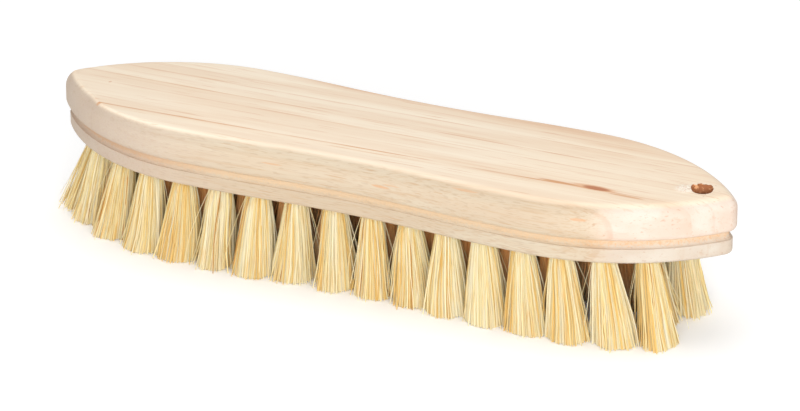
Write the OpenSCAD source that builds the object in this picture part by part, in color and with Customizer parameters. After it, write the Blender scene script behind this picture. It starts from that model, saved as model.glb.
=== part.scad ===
// Pointed wooden scrub brush: a waisted block of pine with a finger groove
// round its edge, a hanging hole, and tufts of stiff plant fibre that are
// folded over flat wire staples at the bottom of drilled holes.
// Millimetres. X runs along the brush towards the hanging hole and Z is up.
// The origin is under the middle of the block, on the plane of the bristle tips.

/* [Block] */
// Length of the block from point to point
block_length = 220; // [206:1:226]
// Width across the shoulders, where the block is widest
shoulder_width = 57.4; // [54:0.2:62]
// Width at the waist, half way along
waist_width = 53.2; // [50:0.2:53.6]
// Distance of the shoulders from the middle of the block
shoulder_x = 56.3; // [48:0.1:64]
// Radius of the blunt points, seen from above
point_radius = 4.6; // [4.2:0.1:6]
// Thickness of the block
block_thickness = 17.8; // [16:0.1:24]

/* [Edge moulding] */
// Radius that rounds the upper edge of the block
top_radius = 4; // [1:0.1:4]
// Radius that rounds the lower edge of the block
lip_radius = 1.2; // [0.4:0.1:2]
// Height of the lip under the finger groove
lip_height = 4.6; // [3:0.1:5.5]
// Distance that the lip stands back from the side of the block
lip_inset = 1.1; // [0.2:0.1:1.6]
// Height of the finger groove above the lip
groove_height = 2.5; // [2.2:0.1:4.6]
// Depth of the finger groove from the side of the block
groove_depth = 2.1; // [1.9:0.1:2.8]
// Radius that rounds the side down into the finger groove
groove_lip_radius = 1.8; // [0.5:0.1:2]

/* [Hanging hole] */
// Diameter of the hanging hole
hanging_hole_d = 6; // [4:0.1:7]
// Distance from the point of the block to the middle of the hanging hole
hanging_hole_inset = 10.6; // [9.5:0.1:12]

/* [Tufts] */
// Height of the trimmed bristles under the block
bristle_length = 26; // [18:0.5:34]
// Distance of the outer row of tufts from the edge of the block
outer_row_inset = 8; // [7:0.1:9]
// Tufts along each side of the outer row, after the one at the left point
outer_side_tufts = 16; // [13:1:16]
// Tufts along each side of the inner row, between the ones at its two ends
inner_side_tufts = 11; // [8:1:11]
// Length that each side of the outer row leaves bare beside the hanging hole
hanging_hole_room = 17.6; // [16:0.1:22]
// Distance from the left point of the block to the middle of the first tuft
left_tuft_inset = 12; // [9:0.1:13]
// Outward lean of the first tuft, in degrees
left_tuft_lean = 16.5; // [12:0.5:20]
// Outward lean of the bristles at the points of the block, in degrees
end_lean = 11.5; // [0:0.5:14]
// Outward lean of the bristles at the sides of the block, in degrees
side_lean = 3; // [0:0.5:6]
// Diameter of the drilled tuft holes
tuft_hole_d = 5.4; // [4.8:0.1:6]
// Depth of the drilled tuft holes
tuft_hole_depth = 11; // [8:0.5:12]
// Width of a strand where it leaves its hole
strand_root_width = 0.9; // [0.6:0.05:1]
// Width of a strand at its tip
strand_tip_width = 1.4; // [0.8:0.1:1.8]
// Least space between the strands of neighbouring tufts
strand_gap = 0.8; // [0.4:0.1:2]

/* [Staples] */
// Thickness of the flat wire that each staple is cut from
staple_thickness = 0.45; // [0.3:0.05:0.8]
// Width of the flat wire
staple_width = 2.3; // [1.5:0.1:3]
// Distance that each end of a staple bites into the wall of its hole
staple_bite = 0.4; // [0.2:0.05:0.8]
// Thickness of the folded fibres between a staple and the bottom of its hole
fold_thickness = 1.2; // [0.8:0.1:2]

/* [Fits] */
// Clearance round each tuft root and each staple
fit_clearance = 0.05; // [0.02:0.01:0.1]

/* [Hidden] */
$fn = 48;
// Steps along each point, end arc and waist arc of the outline, and round each corner of its edge
point_steps = 5;
end_steps = 14;
waist_steps = 4;
corner_steps = 5;
// Length by which a cutter runs past the face that it opens
overrun = 2;
// Length of a tuft root that stands out of its hole
root_proud = 0.6;
// Depth at which the strands start inside their tuft root
strand_seat = 0.4;
// Strands in the middle and round the rim of a tuft
core_strands = 3;
rim_strands = 5;
// Share of the flare radius at which the middle strands stand
core_spread = 0.42;
// Turn of each tuft's strand pattern from the one before, in degrees
pattern_turn = 137.5;

half_length = block_length / 2;
half_shoulder = shoulder_width / 2;
half_waist = waist_width / 2;
waist_depth = half_shoulder - half_waist;
point_x = half_length - point_radius;
end_run = point_x - shoulder_x;
// Arc from the shoulder to the blunt point, tangent to both
end_radius = (end_run * end_run + half_shoulder * half_shoulder - point_radius * point_radius)
    / (2 * (half_shoulder - point_radius));
// Two equal arcs, one hollow and one full, join the waist to the shoulder
waist_radius = (shoulder_x * shoulder_x + waist_depth * waist_depth) / (4 * waist_depth);
waist_angle = asin(shoulder_x / 2 / waist_radius);
// Direction in which the end arc meets the blunt point
point_angle = atan2(end_radius - half_shoulder, end_run);
hanging_hole_x = half_length - hanging_hole_inset;
groove_floor_radius = groove_depth - lip_inset;
groove_top = lip_height + groove_height;

// Four rows of tufts lie evenly across the waist
row_gap = (waist_width - 2 * outer_row_inset) / 3;
inner_row_inset = outer_row_inset + row_gap;
outer_step = (row_length(outer_row_inset) - hanging_hole_room) / outer_side_tufts;
inner_step = row_length(inner_row_inset) / (inner_side_tufts + 1);

// Places of the tufts on the underside: the first of each row is on the axis
left_tuft_place = [left_tuft_inset - half_length, 0];
outer_places = concat(
    [left_tuft_place],
    [for (k = [1 : outer_side_tufts], side = [-1, 1]) row_point(outer_row_inset, k * outer_step, side)]
);
inner_places = concat(
    [row_point(inner_row_inset, 0, 1)],
    [for (k = [1 : inner_side_tufts], side = [-1, 1]) row_point(inner_row_inset, k * inner_step, side)],
    [row_point(inner_row_inset, row_length(inner_row_inset), 1)]
);
tuft_places = concat(outer_places, inner_places);
outer_names = [for (i = [1 : len(outer_places)]) str("outer_tuft_", two_digits(i))];
inner_names = [for (i = [1 : len(inner_places)]) str("inner_tuft_", two_digits(i))];
tuft_names = concat(outer_names, inner_names);

tuft_root_radius = tuft_hole_d / 2 - fit_clearance;
root_spread = tuft_root_radius - strand_root_width * 0.75;
closest_spacing = min(outer_step, inner_step, row_gap);
tip_spread = (closest_spacing - strand_gap) / 2 - strand_tip_width * 0.75;
staple_length = tuft_hole_d + 2 * staple_bite;
staple_height = tuft_hole_depth - fold_thickness - staple_width;
root_height = bristle_length + strand_seat;

function two_digits(n) = str(n < 10 ? "0" : "", n);

// Lengths of the end arc, the full arc and the hollow arc of a row, from a point to the middle
function row_arcs(inset) = [
    (end_radius - inset) * acos((end_radius - half_shoulder) / (end_radius - inset)),
    (waist_radius - inset) * waist_angle,
    (waist_radius + inset) * waist_angle
] * PI / 180;
function half_row(inset) = row_arcs(inset) * [1, 1, 1];
// Length of a row along one side, from the left point to the right point
function row_length(inset) = 2 * half_row(inset);

// Point at a distance along a line that follows the outline at an inset
function row_point(inset, along, side) =
    let (half = half_row(inset))
    along > half
        ? let (p = left_point(inset, 2 * half - along)) [-p.x, side * p.y]
        : let (p = left_point(inset, along)) [p.x, side * p.y];
function left_point(inset, along) =
    let (arcs = row_arcs(inset))
    along < arcs[0] ? end_arc_point(inset, arcs[0] - along)
    : along < arcs[0] + arcs[1] ? full_arc_point(inset, along - arcs[0])
    : hollow_arc_point(inset, arcs[0] + arcs[1] + arcs[2] - along);
function end_arc_point(inset, along) =
    let (r = end_radius - inset, a = along / r * 180 / PI)
    [-shoulder_x - r * sin(a), half_shoulder - end_radius + r * cos(a)];
function full_arc_point(inset, along) =
    let (r = waist_radius - inset, a = along / r * 180 / PI)
    [-shoulder_x + r * sin(a), half_shoulder - waist_radius + r * cos(a)];
function hollow_arc_point(inset, along) =
    let (r = waist_radius + inset, a = along / r * 180 / PI)
    [-r * sin(a), half_waist + waist_radius - r * cos(a)];

// Slopes of a tuft along X and Y: the first has its own lean, the others lean out in step with their places
function tuft_slope(place) =
    place == left_tuft_place
        ? [-tan(left_tuft_lean), 0]
        : [tan(end_lean * place.x / half_length), tan(side_lean * place.y / half_shoulder)];

// Points along an arc of the outline, each with the direction in which the edge faces there
function outline_arc(centre, radius, from, to, steps) = [
    for (k = [0 : steps - 1])
        let (a = from + (to - from) * k / steps)
        [centre + radius * [cos(a), sin(a)], a]
];
// The right back quarter of the outline, from the point to the waist
quarter = concat(
    outline_arc([point_x, 0], point_radius, 0, point_angle, point_steps),
    outline_arc([shoulder_x, half_shoulder - end_radius], end_radius, point_angle, 90, end_steps),
    outline_arc([shoulder_x, half_shoulder - waist_radius], waist_radius, 90, 90 + waist_angle, waist_steps),
    outline_arc([0, half_waist + waist_radius], -waist_radius, 90 + waist_angle, 90, waist_steps)
);
waist_station = [[0, half_waist], 90];
function flip_x(station) = [[-station[0].x, station[0].y], 180 - station[1]];
function turn_over(station) = [-station[0], station[1] + 180];
back_half = concat(quarter, [waist_station], [for (k = [len(quarter) - 1 : -1 : 1]) flip_x(quarter[k])]);
outline = concat(back_half, [for (station = back_half) turn_over(station)]);

// Points round a corner of the edge's section, as [depth from the side, height]
function corner(depth, height, radius, from, to) = [
    for (k = [0 : corner_steps])
        let (a = from + (to - from) * k / corner_steps)
        [depth - radius * cos(a), height + radius * sin(a)]
];
// Section of the edge from the underside to the top: lip, finger groove, side, rounded edge
edge_section = concat(
    corner(lip_inset + lip_radius, lip_radius, lip_radius, -90, 0),
    corner(lip_inset, lip_height + groove_floor_radius, groove_floor_radius, -90, -180),
    [[groove_depth, groove_top]],
    corner(groove_lip_radius, groove_top + groove_lip_radius, groove_lip_radius, -90, 0),
    corner(top_radius, block_thickness - top_radius, top_radius, 0, 90)
);

// The block before drilling: the edge's section carried all round the outline
module block_blank() {
    n = len(outline);
    m = len(edge_section);
    points = [
        for (station = outline, cut = edge_section)
            let (p = station[0] - cut.x * [cos(station[1]), sin(station[1])])
            [p.x, p.y, bristle_length + cut.y]
    ];
    sides = [
        for (k = [0 : n - 1], j = [0 : m - 2])
            let (a = k * m + j, b = (k + 1) % n * m + j)
            each [[a, a + 1, b + 1], [a, b + 1, b]]
    ];
    underside = [for (k = [0 : n - 1]) k * m];
    top = [for (k = [n - 1 : -1 : 0]) k * m + m - 1];
    polyhedron(points, concat(sides, [underside, top]));
}

// Puts what follows at a tuft's hole, with local Z up along the leaning hole
module at_tuft(place) {
    slope = tuft_slope(place);
    turn = atan2(slope.y, slope.x);
    translate([place.x, place.y, bristle_length])
        rotate([0, 0, turn]) rotate([0, -atan(norm(slope)), 0]) rotate([0, 0, -turn]) children();
}

// Plate across a tuft hole: the staple itself, or the room for it with a clearance
module staple_plate(clearance) {
    translate([0, 0, staple_height + staple_width / 2])
        cube([staple_length, staple_thickness, staple_width] + 2 * clearance * [1, 1, 1], center = true);
}

module wooden_block() {
    color([0.93, 0.85, 0.72])
        difference() {
            block_blank();
            for (place = tuft_places) at_tuft(place) {
                translate([0, 0, -overrun]) cylinder(d = tuft_hole_d, h = tuft_hole_depth + overrun);
                staple_plate(fit_clearance);
            }
            translate([hanging_hole_x, 0, bristle_length - overrun])
                cylinder(d = hanging_hole_d, h = block_thickness + 2 * overrun);
        }
}

module anchor_staples() {
    color("silver") for (place = tuft_places) at_tuft(place) staple_plate(0);
}

// One strand from its root centre to its tip centre, four-sided, with flat ends
module strand(root, tip, turn) {
    corners = [for (a = [45 : 90 : 315]) [cos(a + turn), sin(a + turn)] / sqrt(2)];
    points = concat(
        [for (c = corners) [root.x + c.x * strand_root_width, root.y + c.y * strand_root_width, root.z]],
        [for (c = corners) [tip.x + c.x * strand_tip_width, tip.y + c.y * strand_tip_width, tip.z]]
    );
    sides = [for (k = [0 : 3]) let (n = (k + 1) % 4) each [[k, n, k + 4], [n, n + 4, k + 4]]];
    polyhedron(points, concat(sides, [[0, 2, 1], [0, 3, 2], [4, 5, 6], [4, 6, 7]]));
}

// The folded fibres that fill the hole, with the gap that the staple passes through
module tuft_root() {
    difference() {
        translate([0, 0, -root_proud])
            cylinder(r = tuft_root_radius, h = root_proud + tuft_hole_depth - fit_clearance);
        staple_plate(fit_clearance);
    }
}

module tuft(index) {
    place = tuft_places[index];
    slope = tuft_slope(place);
    root = [place.x - slope.x * strand_seat, place.y - slope.y * strand_seat, root_height];
    tip = [place.x + slope.x * bristle_length, place.y + slope.y * bristle_length, 0];
    color([0.93, 0.84, 0.56]) {
        at_tuft(place) tuft_root();
        strand_ring(root, tip, core_strands, core_spread, index * pattern_turn);
        strand_ring(root, tip, rim_strands, 1, index * pattern_turn);
    }
}

// Strands evenly round a tuft, at a share of its root radius and of its flare at the tips
module strand_ring(root, tip, count, share, turn) {
    for (k = [0 : count - 1]) {
        a = turn + k * 360 / count;
        out = share * [cos(a), sin(a), 0];
        strand(root + root_spread * out, tip + tip_spread * out, a);
    }
}

wooden_block();
anchor_staples();
for (i = [0 : len(tuft_names) - 1]) tuft(i);
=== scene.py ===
import math
import random

import bmesh
import bpy
from mathutils import Matrix, Vector


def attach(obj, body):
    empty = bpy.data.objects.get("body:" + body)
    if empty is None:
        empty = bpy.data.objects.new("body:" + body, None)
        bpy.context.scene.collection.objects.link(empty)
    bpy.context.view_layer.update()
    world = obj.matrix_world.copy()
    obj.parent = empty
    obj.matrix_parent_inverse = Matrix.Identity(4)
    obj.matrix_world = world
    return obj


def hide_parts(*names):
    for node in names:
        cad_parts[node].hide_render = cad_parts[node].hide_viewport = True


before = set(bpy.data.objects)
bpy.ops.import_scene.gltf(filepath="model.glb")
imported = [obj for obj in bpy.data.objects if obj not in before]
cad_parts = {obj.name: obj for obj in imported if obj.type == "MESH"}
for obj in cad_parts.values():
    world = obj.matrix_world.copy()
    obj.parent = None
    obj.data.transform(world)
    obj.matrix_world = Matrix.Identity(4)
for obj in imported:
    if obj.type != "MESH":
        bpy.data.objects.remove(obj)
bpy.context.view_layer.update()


def report(stage):
    print("brush:", stage)


def clamped(value):
    return min(1, max(0, value))


def tone(red, green, blue):
    # a colour as it is seen, 0 to 255, turned to the linear numbers that shaders take
    def linear(value):
        value /= 255
        return value / 12.92 if value <= 0.04045 else ((value + 0.055) / 1.055) ** 2.4
    return (linear(red), linear(green), linear(blue), 1.0)


class Sock:
    # one output socket, so that shader maths reads as plain sums
    def __init__(self, finish, out):
        self.finish = finish
        self.out = out
        self.wide = out.type in ("VECTOR", "RGBA")

    def maths(self, operation, *others):
        kind = "ShaderNodeVectorMath" if self.wide else "ShaderNodeMath"
        single = operation in ("LENGTH", "DOT_PRODUCT")  # these give one number, from the second output
        inputs = dict(enumerate((self, *others)))
        return self.finish.node(kind, {"operation": operation}, inputs, output=int(single))

    def flipped(self, operation, other):
        kind = "ShaderNodeVectorMath" if self.wide else "ShaderNodeMath"
        return self.finish.node(kind, {"operation": operation}, {0: other, 1: self})

    def __add__(self, other):
        return self.maths("ADD", other)

    def __radd__(self, other):
        return self.maths("ADD", other)

    def __sub__(self, other):
        return self.maths("SUBTRACT", other)

    def __rsub__(self, other):
        return self.flipped("SUBTRACT", other)

    def __mul__(self, other):
        return self.maths("MULTIPLY", other)

    def __rmul__(self, other):
        return self.maths("MULTIPLY", other)

    def __truediv__(self, other):
        return self.maths("DIVIDE", other)

    def __rtruediv__(self, other):
        return self.flipped("DIVIDE", other)

    def __pow__(self, other):
        return self.maths("POWER", other)

    def __rpow__(self, other):
        return self.flipped("POWER", other)

    def __abs__(self):
        return self.maths("ABSOLUTE")

    def between(self, low, high):
        # 0 at low and 1 at high, smooth in between; low may be the greater one
        return self.finish.node("ShaderNodeMapRange", {"interpolation_type": "SMOOTHSTEP"},
                                {"Value": self, "From Min": low, "From Max": high})


class Finish:
    # a material and the short ways to add nodes to it
    def __init__(self, name):
        self.material = bpy.data.materials.new(name)
        self.material.use_nodes = True
        self.tree = self.material.node_tree
        self.shader = self.tree.nodes["Principled BSDF"]

    def node(self, kind, settings=None, inputs=None, output=0):
        made = self.tree.nodes.new(kind)
        for key, value in (settings or {}).items():
            setattr(made, key, value)
        for key, value in (inputs or {}).items():
            self.put(made.inputs[key], value)
        return Sock(self, made.outputs[output])

    def put(self, socket, value):
        if isinstance(value, Sock):
            self.tree.links.new(value.out, socket)
        elif socket.type in ("VECTOR", "RGBA") and isinstance(value, (int, float)):
            socket.default_value = [value] * len(socket.default_value)
        else:
            socket.default_value = value

    def set(self, **values):
        # sockets of the Principled shader, such as baseColor or roughness
        names = {"baseColor": "Base Color", "specular": "Specular IOR Level",
                 "emission": "Emission Color", "emissionStrength": "Emission Strength"}
        for key, value in values.items():
            self.put(self.shader.inputs[names.get(key, key.capitalize())], value)

    def place(self):
        return self.node("ShaderNodeTexCoord", output="Object")

    def apart(self, vector):
        split = self.node("ShaderNodeSeparateXYZ", {}, {"Vector": vector}).out.node
        return [Sock(self, out) for out in split.outputs]

    def together(self, x, y, z):
        return self.node("ShaderNodeCombineXYZ", {}, {"X": x, "Y": y, "Z": z})

    def spot(self, place, middle, size):
        # 1 inside a long round spot, fading to 0 at its edge
        away = ((place - middle) / size).maths("LENGTH")
        return away.between(1.0, 0.35)

    def noise(self, vector, detail=2.0, roughness=0.5):
        return self.node("ShaderNodeTexNoise", {},
                         {"Vector": vector, "Scale": 1.0, "Detail": detail, "Roughness": roughness})

    def mix(self, share, first, second, blend="MIX"):
        # the Mix node keeps its colours at inputs 6 and 7 and gives them at output 2
        return self.node("ShaderNodeMix", {"data_type": "RGBA", "blend_type": blend},
                         {0: share, 6: first, 7: second}, output=2)

    def lay(self, colour, share, shade, blend="MIX"):
        # a tone, 0 to 255, laid over the colour so far
        return self.mix(share, colour, tone(*shade), blend)

    def bump(self, height, distance, strength):
        return self.node("ShaderNodeBump", {}, {"Height": height, "Distance": distance, "Strength": strength})


shot = {
    "azimuth": 26.97, "elevation": 23.18,  # degrees round the brush and above it
    "place": (0.5564, -1.0873, 0.5427),
    "lens": 202.56, "sensor": 36.0, "clipStart": 0.05,
}


def makeCamera():
    camera = bpy.data.objects.new("shotCamera", bpy.data.cameras.new("shotCamera"))
    bpy.context.collection.objects.link(camera)
    camera.data.lens = shot["lens"]
    camera.data.sensor_width = shot["sensor"]
    camera.data.clip_start = shot["clipStart"]
    camera.rotation_euler = (math.radians(90 - shot["elevation"]), 0, math.radians(shot["azimuth"]))
    camera.location = shot["place"]
    bpy.context.scene.camera = camera


studio = {
    "floorTone": (244, 244, 244), "floorSize": 6.0, "floorRoughness": 0.9,
    "floorGlow": 0.1,  # what the camera sees on top of the lit floor, so that it reads as white paper
    "world": 0.62,
    # name, place, size, watts, colour
    "lamps": [
        ("keyLamp", (1.10, -1.05, 0.62), 0.6, 7.5, (1.0, 0.99, 0.97)),
        ("cameraSideLamp", (0.50, -1.22, 0.36), 0.5, 8.5, (1.0, 1.0, 1.0)),
        ("topLamp", (-0.2, 0.1, 1.6), 1.0, 6.1, (1.0, 1.0, 1.0)),
    ],
}


def makeFloor():
    size, shine = studio["floorSize"], studio["floorGlow"]
    mesh = bpy.data.meshes.new("paperFloor")
    mesh.from_pydata([(-size, -size, 0), (size, -size, 0), (size, size, 0), (-size, size, 0)], [], [(0, 1, 2, 3)])
    floor = bpy.data.objects.new("paperFloor", mesh)
    bpy.context.collection.objects.link(floor)
    paper = Finish("whitePaper")
    seen = paper.node("ShaderNodeLightPath", output="Is Camera Ray")
    white = paper.mix(seen, tone(*studio["floorTone"]), tone(255, 255, 255))
    glow = paper.mix(seen, (0, 0, 0, 1), (shine, shine, shine, 1))
    paper.set(baseColor=white, roughness=studio["floorRoughness"], specular=0.0, emission=glow, emissionStrength=1.0)
    floor.data.materials.append(paper.material)


def makeLight():
    bpy.context.scene.view_settings.view_transform = "Standard"
    world = bpy.data.worlds.new("whiteRoom")
    bpy.context.scene.world = world
    world.use_nodes = True
    background = world.node_tree.nodes["Background"]
    background.inputs["Color"].default_value = (1, 1, 1, 1)
    background.inputs["Strength"].default_value = studio["world"]
    for name, place, width, watts, colour in studio["lamps"]:
        light = bpy.data.lights.new(name, "AREA")
        light.size = width
        light.energy = watts
        light.color = colour
        lamp = bpy.data.objects.new(name, light)
        bpy.context.collection.objects.link(lamp)
        lamp.location = place
        lamp.rotation_euler = Vector(place).to_track_quat("Z", "Y").to_euler()  # aimed at the middle of the brush


block = {
    "length": 0.220, "shoulderWidth": 0.0574, "waistWidth": 0.0532, "shoulderX": 0.0563,
    "pointRadius": 0.0046, "thickness": 0.0178, "underside": 0.026,
    "topRadius": 0.004, "lipRadius": 0.0012, "lipHeight": 0.0046, "lipInset": 0.0011,
    "grooveHeight": 0.0025, "grooveDepth": 0.0021, "grooveLipRadius": 0.0018,
    # the groove's depth along the waist, how far from the middle it keeps it, and over what length it deepens
    "waistGroove": 0.0014, "waistReach": 0.040, "waistFade": 0.035,
    # the near upper edge, from the left point on: x, radius, degrees it turns before it meets the top in a ridge
    "ridge": [(-0.110, 0.0060, 55), (-0.094, 0.0060, 55), (-0.086, 0.0022, 55), (-0.075, 0.0022, 65),
              (-0.045, 0.0032, 82), (-0.020, 0.0040, 90), (0.110, 0.0040, 90)],
    # the far upper edge is rounder at the left, from this x on and growing over this length
    "farLeftRadius": 0.0044, "farLeftStart": -0.060, "farLeftFade": 0.025,
    "edgeBlend": 0.003,  # the near and the far edge blend within this of the middle line
    "holeX": 0.0994, "holeRadius": 0.003, "holeSides": 40, "holeSeed": 11,
    # the wood torn out round the hole: reach, direction in radians, how closely it keeps to it, range of bites
    "tear": 0.0021, "tearSide": 2.0, "tearFocus": 1.2, "tearRange": (0.55, 1.1),
    # depth under the top and share of the tear, ring by ring down the hole
    "tearRings": [(-0.001, 1.1), (0.0002, 1.0), (0.0009, 0.45), (0.0022, 0.0), (0.021, 0.0)],
    "drillStart": 0.002, "drillLength": 0.006, "drillSides": 32,  # the rods that cut the tuft holes
    "outlineStep": 0.0012, "arcSteps": 8, "cornerSteps": 10, "sideSteps": 4,  # spacing of the points
    "sharpAngle": 30,
}
halfLength = block["length"] / 2
halfShoulder = block["shoulderWidth"] / 2
halfWaist = block["waistWidth"] / 2
pointX = halfLength - block["pointRadius"]
endRun = pointX - block["shoulderX"]
endRise = halfShoulder - block["pointRadius"]
endRadius = (endRun ** 2 + halfShoulder ** 2 - block["pointRadius"] ** 2) / (2 * endRise)
waistDepth = halfShoulder - halfWaist
waistRadius = (block["shoulderX"] ** 2 + waistDepth ** 2) / (4 * waistDepth)
waistAngle = math.asin(block["shoulderX"] / 2 / waistRadius)
pointAngle = math.atan2(endRadius - halfShoulder, endRun)


def outlineQuarter():
    # (x, y, facing angle) from the right point to the waist, on the +Y side
    quarter = math.pi / 2
    arcs = [
        (pointX, 0, block["pointRadius"], 0, pointAngle),
        (block["shoulderX"], halfShoulder - endRadius, endRadius, pointAngle, quarter),
        (block["shoulderX"], halfShoulder - waistRadius, waistRadius, quarter, quarter + waistAngle),
        (0, halfWaist + waistRadius, -waistRadius, quarter + waistAngle, quarter),
    ]
    stations = []
    for x, y, radius, start, end in arcs:
        count = max(block["arcSteps"], round(abs(radius * (end - start)) / block["outlineStep"]))
        for k in range(count):
            angle = start + (end - start) * k / count
            stations.append((x + radius * math.cos(angle), y + radius * math.sin(angle), angle))
    return stations


def wholeOutline():
    quarter = outlineQuarter()
    half = quarter + [(0, halfWaist, math.pi / 2)]
    half += [(-x, y, math.pi - angle) for x, y, angle in reversed(quarter[1:])]
    return half + [(-x, -y, angle + math.pi) for x, y, angle in half]


def upperEdge(x, y):
    # radius and turn of the upper edge: soft all round but for the near left side, where it ends in a ridge
    for (x0, radius0, turn0), (x1, radius1, turn1) in zip(block["ridge"], block["ridge"][1:]):
        if x <= x1:
            break
    share = clamped((x - x0) / (x1 - x0))
    radius, turn = radius0 + (radius1 - radius0) * share, turn0 + (turn1 - turn0) * share
    left = clamped((block["farLeftStart"] - x) / block["farLeftFade"])
    farRadius = block["topRadius"] + (block["farLeftRadius"] - block["topRadius"]) * left
    far = clamped((y + block["edgeBlend"]) / (2 * block["edgeBlend"]))
    return radius + (farRadius - radius) * far, turn + (90 - turn) * far


def grooveAt(x):
    # depth of the groove, which grows shallow along the waist
    share = clamped((abs(x) - block["waistReach"]) / block["waistFade"])
    return block["waistGroove"] + (block["grooveDepth"] - block["waistGroove"]) * share


def edgeSection(topRadius, turn, grooveDepth):
    # (depth from the side, height) from the underside to the flat top
    def corner(depth, height, radius, start, end):
        steps = block["cornerSteps"]
        turns = [math.radians(start + (end - start) * k / steps) for k in range(steps + 1)]
        return [(depth - radius * math.cos(a), height + radius * math.sin(a)) for a in turns]

    inset, lip, cove = block["lipInset"], block["lipRadius"], grooveDepth - block["lipInset"]
    under = min(block["grooveLipRadius"], grooveDepth)
    grooveTop = block["lipHeight"] + block["grooveHeight"]
    side = grooveTop + under
    upper = block["thickness"] - topRadius * math.sin(math.radians(turn))
    rows = block["sideSteps"]
    points = corner(inset + lip, lip, lip, -90, 0)
    points += corner(inset, block["lipHeight"] + cove, cove, -90, -180)
    points += [(grooveDepth, grooveTop)]
    points += corner(under, side, under, -90, 0)
    points += [(0, side + (upper - side) * k / rows) for k in range(1, rows)]
    points += corner(topRadius, upper, topRadius, 0, turn)
    return points


def tuftDrill(place, slope):
    # a rod from just outside the underside to a little way up the tuft's hole
    radius, length = tuft["holeRadius"], block["drillLength"]
    axis = Vector((-slope[0], -slope[1], 1)).normalized()
    made = bmesh.new()
    bmesh.ops.create_cone(made, cap_ends=True, segments=block["drillSides"], radius1=radius, radius2=radius,
                          depth=length)
    bmesh.ops.translate(made, verts=made.verts, vec=(0, 0, length / 2 - block["drillStart"]))
    turn = axis.to_track_quat("Z", "Y").to_matrix().to_4x4()
    bmesh.ops.transform(made, matrix=Matrix.Translation(place) @ turn, verts=made.verts)
    return made


def holeDrill():
    # the drill for the hanging hole, with what it tore out round the upper rim, mostly at the far left
    dice = random.Random(block["holeSeed"])
    made = bmesh.new()
    sides = block["holeSides"]
    top = block["underside"] + block["thickness"]
    angles = [k * 2 * math.pi / sides for k in range(sides)]
    bites = [max(0.0, math.cos(angle - block["tearSide"])) ** block["tearFocus"] * dice.uniform(*block["tearRange"])
             for angle in angles]
    rings = []
    for depth, grow in block["tearRings"]:
        ring = []
        for angle, bite in zip(angles, bites):
            radius = block["holeRadius"] + block["tear"] * bite * grow
            spot = block["holeX"] + radius * math.cos(angle), radius * math.sin(angle), top - depth
            ring.append(made.verts.new(spot))
        rings.append(ring)
    for upper, lower in zip(rings, rings[1:]):
        for k in range(sides):
            made.faces.new((upper[k], lower[k], lower[(k + 1) % sides], upper[(k + 1) % sides]))
    made.faces.new(rings[0])
    made.faces.new(list(reversed(rings[-1])))
    return made


def sweepBlock():
    # the edge's section swept round the outline, closed by the underside and the top
    outline = wholeOutline()
    base = block["underside"]
    sections = [edgeSection(*upperEdge(x, y), grooveAt(x)) for x, y, angle in outline]
    points = [
        (x - depth * math.cos(angle), y - depth * math.sin(angle), base + height)
        for (x, y, angle), section in zip(outline, sections) for depth, height in section
    ]
    around, up = len(outline), len(sections[0])
    faces = [
        (k * up + j, (k + 1) % around * up + j, (k + 1) % around * up + j + 1, k * up + j + 1)
        for k in range(around) for j in range(up - 1)
    ]
    faces += [tuple(k * up for k in reversed(range(around))), tuple(k * up + up - 1 for k in range(around))]
    mesh = bpy.data.meshes.new("pineBlock")
    mesh.from_pydata(points, [], faces)
    piece = bpy.data.objects.new("pineBlock", mesh)
    bpy.context.collection.objects.link(piece)
    return piece


def drillBlock(piece, tufts):
    # all drills are joined to one cutter, which cuts the block once
    joined = bmesh.new()
    for rod in [tuftDrill(place, slope) for place, slope in tufts] + [holeDrill()]:
        part = bpy.data.meshes.new("part")
        rod.to_mesh(part)
        rod.free()
        joined.from_mesh(part)
    drills = bpy.data.meshes.new("drills")
    joined.to_mesh(drills)
    joined.free()
    cutter = bpy.data.objects.new("drills", drills)
    bpy.context.collection.objects.link(cutter)
    cut = piece.modifiers.new("drilled", "BOOLEAN")
    cut.operation, cut.object, cut.solver = "DIFFERENCE", cutter, "EXACT"
    graph = bpy.context.evaluated_depsgraph_get()
    drilled = bpy.data.meshes.new_from_object(piece.evaluated_get(graph))
    piece.modifiers.clear()
    piece.data = drilled
    bpy.data.objects.remove(cutter)


def makeBlock(tufts):
    piece = sweepBlock()
    drillBlock(piece, tufts)
    for face in piece.data.polygons:
        face.use_smooth = True
    piece.data.set_sharp_from_angle(angle=math.radians(block["sharpAngle"]))
    piece.data.materials.clear()
    piece.data.materials.append(pineFinish())
    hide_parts("wooden_block")
    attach(piece, "root")
    report("pine block, %d faces" % len(piece.data.polygons))


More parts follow.
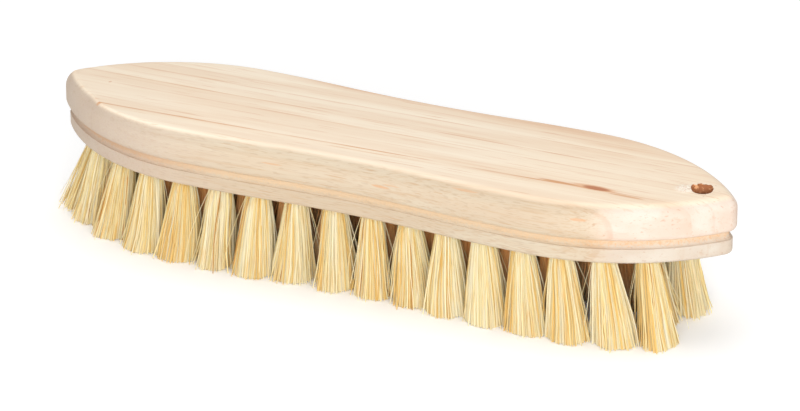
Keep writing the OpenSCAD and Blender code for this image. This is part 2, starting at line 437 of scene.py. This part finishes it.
pine = {
    "cream": (239, 218, 193), "pale": (246, 231, 209), "line": (212, 155, 108), "tan": (226, 188, 150),
    "leftEndShade": (204, 184, 168), "tick": (200, 164, 134), "knot": (184, 114, 76), "halo": (222, 164, 116),
    "groove": (220, 187, 148), "chip": (255, 247, 232), "holeWallShade": (164, 102, 62), "holeDeepShade": (104, 54, 30),
    # what the colours are multiplied by on the long side, where it is painted shade, at the right end and on the
    # right half of the top
    "side": (215, 217, 215), "rightEnd": (232, 230, 238), "rightLip": (238, 243, 241),
    "topRight": (255, 252, 249),
    "roughness": 0.6, "specular": 0.3, "bumpDistance": 0.00012, "bumpStrength": 0.6,
    # where a tone sets in and where it is full, in x
    "leftward": (-0.03, -0.085), "rightward": (0.074, 0.083), "topRightward": (0.02, 0.06), "endward": (0.045, 0.09),
    "edgeDepth": (0.0001, 0.0013),  # depth under the top where the side's tone and painted shade set in and are full, which also dims the rounded edge's highlight
    # a band of the side, by its depth under the top, where the painted shade is a little lighter, as it turns more
    # to the light
    "bandTop": (0.0025, 0.0045), "bandFoot": (0.011, 0.006), "bandLessShade": 0.15,
    # painted shade: the far edge, which turns away from the light, is a touch browner along the waist
    "farEdgeShade": (0.0205, 0.0235), "farEdgeLeft": (-0.06, -0.02), "farEdgeRight": (0.085, 0.05), "farEdgeShadeStrength": 0.45,
    # growth rings round a line that runs a little askew in front of the block, less so further back
    "ringY": -0.040, "ringZ": 0.034, "ringFlat": 0.6,
    "askew": 0.04, "lessAskew": 0.02, "lessAskewFrom": (-0.013, -0.003),
    "wander": 0.0012, "wanderScale": (11.0, 45.0, 45.0),
    # radius and strength of each ring's dark line
    "rings": [(0.0130, 0.22), (0.0245, 0.8), (0.0308, 0.15), (0.0385, 0.35), (0.0450, 0.55), (0.0490, 0.15),
              (0.0531, 0.35), (0.0585, 0.2)],
    # a thin line and the slow darkening before it: where each rises and falls, from the ring outwards
    "lineRise": (-0.0006, -0.0001), "lineFall": (0.0004, 0.0001),
    "bandRise": (-0.0045, 0.0), "bandFall": (0.0004, 0.0), "bandStrength": 0.35,
    "frontRing": (0.018, 0.021), "frontRingX": (0.055, 0.065),  # rings smaller than this show beyond this x only
    "breaks": (45.0, 260.0), "breakRange": (0.34, 0.62),  # gaps in the lines, along them and from ring to ring
    # the lines fade over the left end
    "endFade": (-0.08, -0.09), "endFadeDepth": (0.0, 0.0006), "endFadeShare": 0.85,
    # noises that run with the grain: strokes a metre, shift, detail, roughness
    "noises": {
        "broad": ((8.0, 160.0, 160.0), 0.0, 2.0, 0.5),
        "streak": ((22.0, 620.0, 620.0), 0.0, 3.0, 0.6),
        "fine": ((80.0, 3200.0, 3200.0), 0.0, 2.0, 0.6),
        "dash": ((60.0, 1500.0, 1500.0), 7.0, 1.0, 0.5),
        "tick": ((330.0, 2300.0, 2300.0), 3.0, 0.0, 0.5),
    },
    "fuzzScale": 1500.0, "chipScale": (700.0, 900.0, 700.0),
    # streaks over the whole block and over the long side: noise, where it sets in and is full, strength, tone
    "streaks": [("streak", 0.56, 0.72, 0.4, "tan"), ("fine", 0.55, 0.78, 0.25, "tan"),
                ("dash", 0.66, 0.74, 0.4, "line")],
    "sideStreaks": [("fine", 0.46, 0.66, 0.35, "tan"), ("tick", 0.6, 0.74, 0.28, "tick")],
    # how far the groove's rough edges stray, and how far its tone takes to set in and to end
    "grooveFuzz": 0.0022, "grooveIn": (0.0001, 0.0008), "grooveOut": (0.0010, 0.0002), "lipDepth": (0.0, 0.0015),
    "rimMiddle": (-0.0046, -0.0012), "rimSize": (0.0040, 0.0040, 0.002),  # the broken rim, from the hole's middle
    # the hole's wall, painted brown as shade in the hole: past its radius, and by depth under the top where it
    # begins, where the painted shade darkens and where it is torn
    "wallReach": (0.0026, 0.0020), "wallFuzz": 0.0004, "wallTop": (0.00003, 0.0001),
    "wallShadeDepth": (0.0012, 0.0050), "wallTorn": (0.0035, 0.0008),
    # marks in the wood: middle, size along x, y and z, strength, tone
    "marks": [
        ((0.0712, -0.0124, 0.0438), (0.0108, 0.0027, 0.003), 0.6, "halo"),
        ((0.0605, -0.0132, 0.0438), (0.0100, 0.0010, 0.003), 0.9, "line"),
        ((0.0820, -0.0140, 0.0438), (0.0090, 0.0009, 0.003), 0.7, "line"),
        ((0.0721, -0.0125, 0.0438), (0.0066, 0.0019, 0.003), 0.9, "knot"),
        ((-0.0927, -0.0040, 0.0438), (0.0007, 0.0010, 0.002), 0.5, "line"),
        ((-0.0872, -0.0200, 0.0434), (0.0016, 0.0009, 0.002), 0.6, "line"),
        ((0.0105, -0.0267, 0.0378), (0.0050, 0.004, 0.0006), 0.6, "line"),
        ((0.0140, -0.0267, 0.0388), (0.0040, 0.004, 0.0004), 0.4, "line"),
        ((0.0730, -0.0266, 0.0396), (0.0040, 0.004, 0.0007), 0.6, "line"),
        ((0.0377, -0.0282, 0.0422), (0.0070, 0.004, 0.0005), 0.4, "line"),
        ((-0.0250, -0.0270, 0.0385), (0.0050, 0.004, 0.0005), 0.4, "line"),
    ],
}


def atDepth(z, level, depths):
    # sets in at the first depth under a level and is full at the second
    start, full = depths
    return z.between(level - start, level - full)


def growthRings(f, place, x, y, z):
    # distance across the grain, distance from the rings' middle line, and the dark of thin lines and broad bands
    wander = f.noise(place * pine["wanderScale"]) - 0.5
    slope = pine["askew"] - y.between(*pine["lessAskewFrom"]) * pine["lessAskew"]
    across = y - pine["ringY"] - x * slope + wander * pine["wander"]
    above = (z - pine["ringZ"]) * pine["ringFlat"]
    ring = (across * across + above * above) ** 0.5
    line, band = 0.0, 0.0
    for radius, strength in pine["rings"]:
        away = ring - radius
        line = line + away.between(*pine["lineRise"]) * away.between(*pine["lineFall"]) * strength
        band = band + away.between(*pine["bandRise"]) * away.between(*pine["bandFall"]) * strength
    return across, ring, line, band


def holeTones(f, colour, place, x, y, z, top):
    # hanging hole: a broken pale rim at its left, a wall painted brown as shade and darker further down, paler where
    # it is torn
    chips = f.noise(place * pine["chipScale"], 3.0, 0.7)
    rimX, rimY = pine["rimMiddle"]
    rim = f.spot(place, (block["holeX"] + rimX, rimY, top), pine["rimSize"])
    colour = f.lay(colour, rim * chips.between(0.38, 0.5), pine["chip"])
    colour = f.lay(colour, rim * chips.between(0.5, 0.62) * 0.45, pine["halo"])
    aside = f.together(x - block["holeX"], y, 0.0).maths("LENGTH")
    start, full = pine["wallReach"]
    wall = aside.between(block["holeRadius"] + start, block["holeRadius"] + full)
    wall = wall * atDepth(z + (chips - 0.5) * pine["wallFuzz"], top, pine["wallTop"])
    wallShadeTone = f.mix(atDepth(z, top, pine["wallShadeDepth"]), tone(*pine["holeWallShade"]), tone(*pine["holeDeepShade"]))
    wallShadeTone = f.lay(wallShadeTone, chips.between(0.54, 0.62) * atDepth(z, top, pine["wallTorn"]), pine["halo"])
    return f.mix(wall, colour, wallShadeTone), (rim + wall) * chips


def pineFinish():
    f = Finish("sandedPine")
    place = f.place()
    x, y, z = f.apart(place)
    base, top = block["underside"], block["underside"] + block["thickness"]
    across, ring, line, band = growthRings(f, place, x, y, z)
    grain = f.together(x, across, z)
    noises = {name: f.noise(grain * scale + shift, detail, roughness)
              for name, (scale, shift, detail, roughness) in pine["noises"].items()}
    streak, fine = noises["streak"], noises["fine"]
    fuzz = f.noise(place * pine["fuzzScale"], 2.0, 0.7)
    colour = f.mix(noises["broad"].between(0.35, 0.65), tone(*pine["cream"]), tone(*pine["pale"]))

    # the ring nearest the front would smear along the side, so it shows at the right end only
    shown = x.between(*pine["frontRingX"]).maths("MAXIMUM", ring.between(*pine["frontRing"]))
    colour = f.lay(colour, band * shown * (0.2 + streak) * pine["bandStrength"], pine["tan"])
    ended = x.between(*pine["endFade"]) * atDepth(z, top, pine["endFadeDepth"])
    shown = shown * (1.0 - ended * pine["endFadeShare"])
    along, outward = pine["breaks"]
    broken = f.noise(f.together(x * along, ring * outward, 0.0), 3.0).between(*pine["breakRange"])
    colour = f.lay(colour, line * shown * broken * (0.5 + streak), pine["line"])
    for name, start, full, strength, shade in pine["streaks"]:
        colour = f.lay(colour, noises[name].between(start, full) * strength, pine[shade])

    # the long side is browner, with short ticks, and painted darker as shade, since it gets less light than the top;
    # the left end is grey and mottled as painted shade; the right end pale
    low = atDepth(z, top, pine["edgeDepth"])
    left, right = x.between(*pine["leftward"]), x.between(*pine["rightward"])
    lessShaded = atDepth(z, top, pine["bandTop"]) * atDepth(z, top, pine["bandFoot"])
    sideGrainAndShade = low * (1.0 - right) * (1.0 - lessShaded * pine["bandLessShade"])
    colour = f.lay(colour, x.between(*pine["topRightward"]) * (1.0 - low), pine["topRight"], "MULTIPLY")
    # painted shade along the far edge, in the ring lines' tone
    farEdgeShade = y.between(*pine["farEdgeShade"]) * x.between(*pine["farEdgeLeft"]) * x.between(*pine["farEdgeRight"])
    colour = f.lay(colour, farEdgeShade * (0.3 + streak) * pine["farEdgeShadeStrength"], pine["line"])
    colour = f.lay(colour, sideGrainAndShade * (0.05 + 0.35 * streak), pine["tan"])
    for name, start, full, strength, shade in pine["sideStreaks"]:
        colour = f.lay(colour, sideGrainAndShade * noises[name].between(start, full) * strength, pine[shade])
    # painted shade: the long side is multiplied darker than the top
    colour = f.lay(colour, sideGrainAndShade, pine["side"], "MULTIPLY")
    colour = f.lay(colour, low * right, pine["rightEnd"], "MULTIPLY")
    # painted shade: the left end, which faces away from the lamps, is laid over with mottled grey
    colour = f.lay(colour, low * left * (0.3 + 0.6 * fuzz.between(0.3, 0.7)), pine["leftEndShade"])
    colour = f.lay(colour, low * right * fuzz.between(0.56, 0.7) * 0.16, pine["tan"])

    # the groove is cut across the grain at both ends, so it is browner and fuzzy there; all along it a tan tone that
    # is strongest under the overhang is painted shade in the recess
    grooveFoot = base + block["lipHeight"]
    grooveTop = grooveFoot + block["grooveHeight"]
    rough = z + (fuzz - 0.5) * pine["grooveFuzz"]
    inGroove = rough.between(grooveFoot + pine["grooveIn"][0], grooveTop - pine["grooveIn"][1])
    inGroove = inGroove * rough.between(grooveTop + pine["grooveOut"][0], grooveTop + pine["grooveOut"][1])
    ends = abs(x).between(*pine["endward"])
    colour = f.lay(colour, atDepth(z, grooveTop, pine["lipDepth"]) * right, pine["rightLip"], "MULTIPLY")
    # the groove's tan: fuzzy wood tone, and painted shade under the overhang
    colour = f.lay(colour, inGroove * (0.3 + fuzz * 0.6), pine["groove"])
    colour = f.lay(colour, inGroove * ends * fuzz.between(0.45, 0.62) * 0.35, pine["line"])
    # painted shade: the groove at the left end is darker still
    colour = f.lay(colour, inGroove * left * 0.6, pine["tick"])

    # marks with ragged ends, where the streaks run on into them
    for middle, size, strength, shade in pine["marks"]:
        mark = (f.spot(place, middle, size) + (fine - 0.5) * 0.9).between(0.25, 1.05)
        colour = f.lay(colour, mark * strength, pine[shade])
    colour, torn = holeTones(f, colour, place, x, y, z, top)
    f.set(baseColor=colour, roughness=pine["roughness"], specular=pine["specular"])
    height = fine * 0.5 + streak * 0.3 + inGroove * fuzz * 2.0 + torn * 5.0
    f.set(normal=f.bump(height, pine["bumpDistance"], pine["bumpStrength"]))
    return f.material


tuft = {
    # rows of tufts: distance in from the outline, tufts on each side, and the room left at the hanging hole
    "outerInset": 0.008, "outerPerSide": 16, "innerPerSide": 11, "holeRoom": 0.0176,
    # degrees that tufts lean at the points and at the sides; the first stands at the left point
    "endLean": 11.5, "sideLean": 3.0, "firstInset": 0.012, "firstLean": 16.5,
    "holeRadius": 0.0027, "rootRadius": 0.00262, "tipRadius": 0.0063,
    "burst": (0.12, 0.34), "burstDrop": 0.0020,  # share of the flare that opens at once under the hole
    "seed": 57, "fibres": 290, "fibreRadius": (0.00015, 0.00023), "rootWide": 1.1, "narrowing": 0.2,
    "seat": 0.0035, "segments": 7, "sides": 3,
    "segmentEase": 1.3,  # above 1, the segments are shorter near the wood
    "ragged": 0.0006,  # how far the trimmed ends stray in height
    # how far the fibres bend, how unlike each other they are in it, and their fine waves
    "bend": 0.0007, "bendSpread": 0.6, "bendTurn": 2.4, "wave": 0.00022, "waveTurn": 7,
    # how the fibres are strewn over the bundle's round: degrees from one to the next, how far they stray from
    # that, the share that lies innermost, the pull to the rim, and how unevenly they lie
    "turnStep": 137.508, "turnSpread": 0.3, "innermost": 0.02, "rimPull": 0.3, "unevenness": (0.94, 1.04),
    "locks": 5, "lockDrift": 0.0011, "lean": 0.0007,  # parts of a tuft that lean their own way, and the whole tuft
    "deepReach": 0.079,  # inner tufts nearer to an end than this are seen from outside; the others take the copy with painted shade
    # tones round the tuft, how they blend and vary, the lowest but for brown fibres, and the share of those
    "shades": 24, "shadeBlend": 0.6, "shadeSpread": 0.22, "lowestShade": 0.06, "brownShare": 0.02,
    # the packed inside of the bundle
    "coreShare": 0.94, "coreSides": 80, "coreSteps": 6, "coreEnd": (0.0001, 0.0005), "coreSeat": 0.002,
    "coreTint": 0.9, "flute": 0.07, "fluteSpread": 0.02,
    "wild": 0.36, "wildShare": 0.16,  # fibres that stand out of the bundle
}

# a few thin fibres that leave the bundle and end higher up
stray = {
    "count": 6, "outward": 0.003, "bend": 0.0016, "end": 0.009, "thin": 0.6, "shade": (0.3, 1), "wild": 0.35,
}


def rowArcs(inset):
    # lengths of the end arc, the shoulder arc and the hollow of the waist on a line inside the outline
    end = (endRadius - inset) * math.acos((endRadius - halfShoulder) / (endRadius - inset))
    return end, (waistRadius - inset) * waistAngle, (waistRadius + inset) * waistAngle


def rowPoint(inset, along, side):
    # a point on the line that follows the outline at an inset, from the left point
    end, full, hollow = rowArcs(inset)
    half = end + full + hollow
    mirrored = along > half
    if mirrored:
        along = 2 * half - along
    if along < end:
        radius = endRadius - inset
        angle = (end - along) / radius
        x, y = -block["shoulderX"] - radius * math.sin(angle), halfShoulder - endRadius + radius * math.cos(angle)
    elif along < end + full:
        radius = waistRadius - inset
        angle = (along - end) / radius
        x, y = -block["shoulderX"] + radius * math.sin(angle), halfShoulder - waistRadius + radius * math.cos(angle)
    else:
        radius = waistRadius + inset
        angle = (half - along) / radius
        x, y = -radius * math.sin(angle), halfWaist + waistRadius - radius * math.cos(angle)
    return Vector((-x if mirrored else x, side * y, block["underside"]))


def tuftPlaces():
    outerStep = (2 * sum(rowArcs(tuft["outerInset"])) - tuft["holeRoom"]) / tuft["outerPerSide"]
    outer = [Vector((tuft["firstInset"] - halfLength, 0, block["underside"]))]
    outer += [rowPoint(tuft["outerInset"], k * outerStep, side)
              for k in range(1, tuft["outerPerSide"] + 1) for side in (-1, 1)]
    innerInset = tuft["outerInset"] + (block["waistWidth"] - 2 * tuft["outerInset"]) / 3
    innerLength = 2 * sum(rowArcs(innerInset))
    innerStep = innerLength / (tuft["innerPerSide"] + 1)
    inner = [rowPoint(innerInset, 0, 1)]
    inner += [rowPoint(innerInset, k * innerStep, side)
              for k in range(1, tuft["innerPerSide"] + 1) for side in (-1, 1)]
    inner += [rowPoint(innerInset, innerLength, 1)]
    return ([("outer_tuft_%02d" % (k + 1), place) for k, place in enumerate(outer)]
            + [("inner_tuft_%02d" % (k + 1), place) for k, place in enumerate(inner)])


def tuftSlope(place):
    # how far a tuft runs outwards for each metre down
    if place.x < tuft["firstInset"] - halfLength + 0.0001:  # the first tuft
        return -math.tan(math.radians(tuft["firstLean"])), 0.0
    return (math.tan(math.radians(tuft["endLean"] * place.x / halfLength)),
            math.tan(math.radians(tuft["sideLean"] * place.y / halfShoulder)))


def makeTuft(name, place, finish, dice):
    slope = tuftSlope(place)
    points, faces, tints = [], [], []
    base = block["underside"]

    def scatter(amount):
        # a random sideways step
        return Vector((dice.gauss(0, amount), dice.gauss(0, amount), 0))

    burst = dice.uniform(*tuft["burst"])
    lean = scatter(tuft["lean"])
    locks = [scatter(tuft["lockDrift"]) for k in range(tuft["locks"])]
    shades = [dice.random() for k in range(tuft["shades"])]

    def outwards(angle, radius=1):
        return Vector((radius * math.cos(angle), radius * math.sin(angle), 0))

    def drift(angle):
        # how the part of the tuft at an angle leans, blended with its neighbour
        part = (angle / (2 * math.pi) * len(locks)) % len(locks)
        return locks[int(part)].lerp(locks[(int(part) + 1) % len(locks)], part % 1)

    def shade(angle):
        # fibres side by side are of like tone; 0 is a brown one
        part = int(angle / (2 * math.pi) * len(shades) + dice.gauss(0, tuft["shadeBlend"])) % len(shades)
        varied = min(1.0, max(tuft["lowestShade"], shades[part] + dice.gauss(0, tuft["shadeSpread"])))
        return varied * (dice.random() > tuft["brownShare"])

    def middle(height):
        # the tuft's own axis at a height
        drop = base - height
        axis = Vector((place.x + slope[0] * drop, place.y + slope[1] * drop, height))
        return axis + lean * max(0.0, drop) / base

    def spread(height):
        # radius of the bundle at a height
        drop = max(0.0, base - height)
        atOnce = burst * (1 - math.exp(-drop / tuft["burstDrop"]))
        opened = atOnce + (1 - burst) * drop / base
        return tuft["rootRadius"] + (tuft["tipRadius"] - tuft["rootRadius"]) * opened

    def walls(first, sides, steps):
        # the faces round a stack of rings of points
        for k in range(steps):
            for s in range(sides):
                a, b = first + k * sides + s, first + k * sides + (s + 1) % sides
                faces.append((a, a + sides, b + sides, b))

    def fibre(across, share, end, wide, sway, chance, wild=0.0):
        first = len(points)
        turn, start = dice.uniform(0, 2 * math.pi), dice.uniform(0, 2 * math.pi)
        wave = scatter(1) * tuft["wave"]
        top = base + tuft["seat"]
        steps, sides = tuft["segments"], tuft["sides"]
        for k in range(steps + 1):
            t = (k / steps) ** tuft["segmentEase"]
            height = top + (end - top) * t
            out = share * (1 + wild * t * t)
            centre = middle(height) + across * out * spread(height) + sway * math.sin(tuft["bendTurn"] * t) * t
            centre += wave * math.sin(start + tuft["waveTurn"] * t) * t
            size = wide * (tuft["rootWide"] - tuft["narrowing"] * t)
            for s in range(sides):
                points.append(centre + outwards(turn + s * 2 * math.pi / sides, size))
                tints.append((chance, 1 - height / base, share, 1.0))
        walls(first, sides, steps)
        faces.append(tuple(first + steps * sides + s for s in reversed(range(sides))))

    def core():
        # the packed fibres inside, as one fluted body with a ragged end
        sides, steps, top = tuft["coreSides"], tuft["coreSteps"], base + tuft["coreSeat"]
        flutes = [(1 - tuft["flute"] * (s % 2) + dice.uniform(-tuft["fluteSpread"], tuft["fluteSpread"]),
                   dice.random(), dice.uniform(*tuft["coreEnd"])) for s in range(sides)]
        for k in range(steps + 1):
            for s, (proud, chance, end) in enumerate(flutes):
                height = top - (top - end) * (k / steps) ** tuft["segmentEase"]
                angle = s * 2 * math.pi / sides
                t = clamped(1 - height / base)
                lock = drift(angle) * tuft["coreShare"] * math.sin(tuft["bendTurn"] * t) * t
                points.append(middle(height) + lock + outwards(angle) * spread(height) * tuft["coreShare"] * proud)
                tints.append((chance, 1 - height / base, tuft["coreTint"], 1.0))
        walls(0, sides, steps)
        points.append(middle(tuft["coreEnd"][0]))
        tints.append((0.5, 1.0, tuft["coreTint"], 1.0))
        last = steps * sides
        faces.extend((last + s, len(points) - 1, last + (s + 1) % sides) for s in range(sides))

    core()
    count, inmost = tuft["fibres"], tuft["innermost"]
    for k in range(count):
        share = (inmost + (1 - inmost) * (k + 0.5) / count) ** tuft["rimPull"]
        angle = k * math.radians(tuft["turnStep"]) + dice.uniform(-tuft["turnSpread"], tuft["turnSpread"])
        sway = scatter(tuft["bendSpread"]) * tuft["bend"] + drift(angle + dice.gauss(0, tuft["turnSpread"])) * share
        end = dice.random() ** 2 * tuft["ragged"]
        wild = dice.uniform(0, tuft["wild"]) if dice.random() < tuft["wildShare"] else 0.0
        wide = dice.uniform(*tuft["fibreRadius"])
        fibre(outwards(angle), share * dice.uniform(*tuft["unevenness"]), end, wide, sway, shade(angle), wild)
    for k in range(stray["count"]):
        across = outwards(dice.uniform(0, 2 * math.pi))
        sway = across * dice.uniform(0, stray["outward"]) + scatter(stray["bend"])
        fibre(across, 1.0, dice.uniform(0, stray["end"]), tuft["fibreRadius"][0] * stray["thin"], sway,
              dice.uniform(*stray["shade"]), dice.uniform(0, stray["wild"]))

    mesh = bpy.data.meshes.new(name)
    mesh.from_pydata(points, [], faces)
    layer = mesh.color_attributes.new("fibre", "FLOAT_COLOR", "POINT")
    layer.data.foreach_set("color", [value for tint in tints for value in tint])
    mesh.materials.append(finish)
    piece = bpy.data.objects.new(name.replace("outer_tuft", "outerTuft").replace("inner_tuft", "innerTuft"), mesh)
    bpy.context.collection.objects.link(piece)
    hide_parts(name)
    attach(piece, "root")


fibreTones = {
    "straw": (255, 246, 196), "pale": (255, 253, 226), "gold": (242, 206, 122), "brown": (204, 146, 76),
    "inside": (244, 212, 146),  # painted shade: fibres that lie deeper in the tuft are more golden
    "glow": (255, 234, 172), "through": 0.4,  # light that passes through a fibre, and its share
}
# a copy of the fibres for the inner rows, painted darker and browner as shade, most of all where they leave the wood
shadedFibreTones = {
    "straw": (255, 240, 186), "pale": (255, 246, 210), "gold": (242, 202, 126), "brown": (204, 138, 72),
    "inside": (244, 200, 120), "glow": (255, 222, 164), "through": 0.4, "shade": (250, 194, 124),
}
# where each tone sets in and where it is full, and how strong it is
fibreLook = {
    "paleChance": (0.25, 0.75), "goldChance": (0.26, 0.08), "goldStrength": 0.85, "brownChance": (0.04, 0.01),
    "insideShadeShare": (0.92, 0.7), "insideShadeStrength": 0.8,
    "streakScale": (900.0, 900.0, 120.0), "streakRange": (0.5, 0.75), "streakStrength": 0.4,
    "shadeAlong": (1.1, 0.3), "roughness": 0.5, "specular": 0.15,
}


def fibreFinish(name, tones):
    f = Finish(name)
    tint = f.node("ShaderNodeAttribute", {"attribute_name": "fibre"}, output="Color")
    chance, along, share = f.apart(tint)
    colour = f.mix(chance.between(*fibreLook["paleChance"]), tone(*tones["straw"]), tone(*tones["pale"]))
    colour = f.lay(colour, chance.between(*fibreLook["goldChance"]) * fibreLook["goldStrength"], tones["gold"])
    colour = f.lay(colour, chance.between(*fibreLook["brownChance"]), tones["brown"])
    # painted shade: fibres deeper in the bundle are laid over with the inside tone
    colour = f.lay(colour, share.between(*fibreLook["insideShadeShare"]) * fibreLook["insideShadeStrength"], tones["inside"])
    streak = f.noise(f.place() * fibreLook["streakScale"])
    colour = f.lay(colour, streak.between(*fibreLook["streakRange"]) * fibreLook["streakStrength"], tones["gold"])
    # painted shade: the shaded copy grows browner towards the wood
    if "shade" in tones:
        colour = f.lay(colour, along.between(*fibreLook["shadeAlong"]), tones["shade"])
    f.set(baseColor=colour, roughness=fibreLook["roughness"], specular=fibreLook["specular"])
    glow = f.node("ShaderNodeBsdfTranslucent", {}, {"Color": tone(*tones["glow"])})
    both = f.node("ShaderNodeMixShader", {}, {0: tones["through"], 1: Sock(f, f.shader.outputs[0]), 2: glow})
    f.tree.links.new(both.out, f.tree.nodes["Material Output"].inputs["Surface"])
    return f.material


def makeTufts():
    outerFinish = fibreFinish("plantFibre", fibreTones)
    shadedFinish = fibreFinish("deepPlantFibre", shadedFibreTones)
    dice = random.Random(tuft["seed"])
    places = tuftPlaces()
    for name, place in places:
        # painted shade: inner tufts away from the ends take the shaded copy
        deep = name.startswith("inner") and abs(place.x) < tuft["deepReach"]
        makeTuft(name, place, shadedFinish if deep else outerFinish, dice)
    report("%d tufts" % len(places))
    return [(place, tuftSlope(place)) for name, place in places]


wire = {
    "dark": (150, 150, 152), "light": (196, 196, 198),
    "scratchScale": (300.0, 3000.0, 3000.0), "roughness": 0.25, "scratchRoughness": 0.2,
}


def wireFinish():
    f = Finish("flatWire")
    scratch = f.noise(f.place() * wire["scratchScale"])
    f.set(baseColor=f.mix(scratch, tone(*wire["dark"]), tone(*wire["light"])), metallic=1.0,
          roughness=wire["roughness"] + wire["scratchRoughness"] * scratch)
    return f.material


def dressStaples():
    # the staples stand inside the wood, so the solids are kept and only given their finish
    finish = wireFinish()
    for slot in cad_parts["anchor_staples"].material_slots:
        slot.material = finish
    report("staples")


makeCamera()
makeFloor()
makeLight()
report("camera and studio")
tufts = makeTufts()
makeBlock(tufts)
dressStaples()
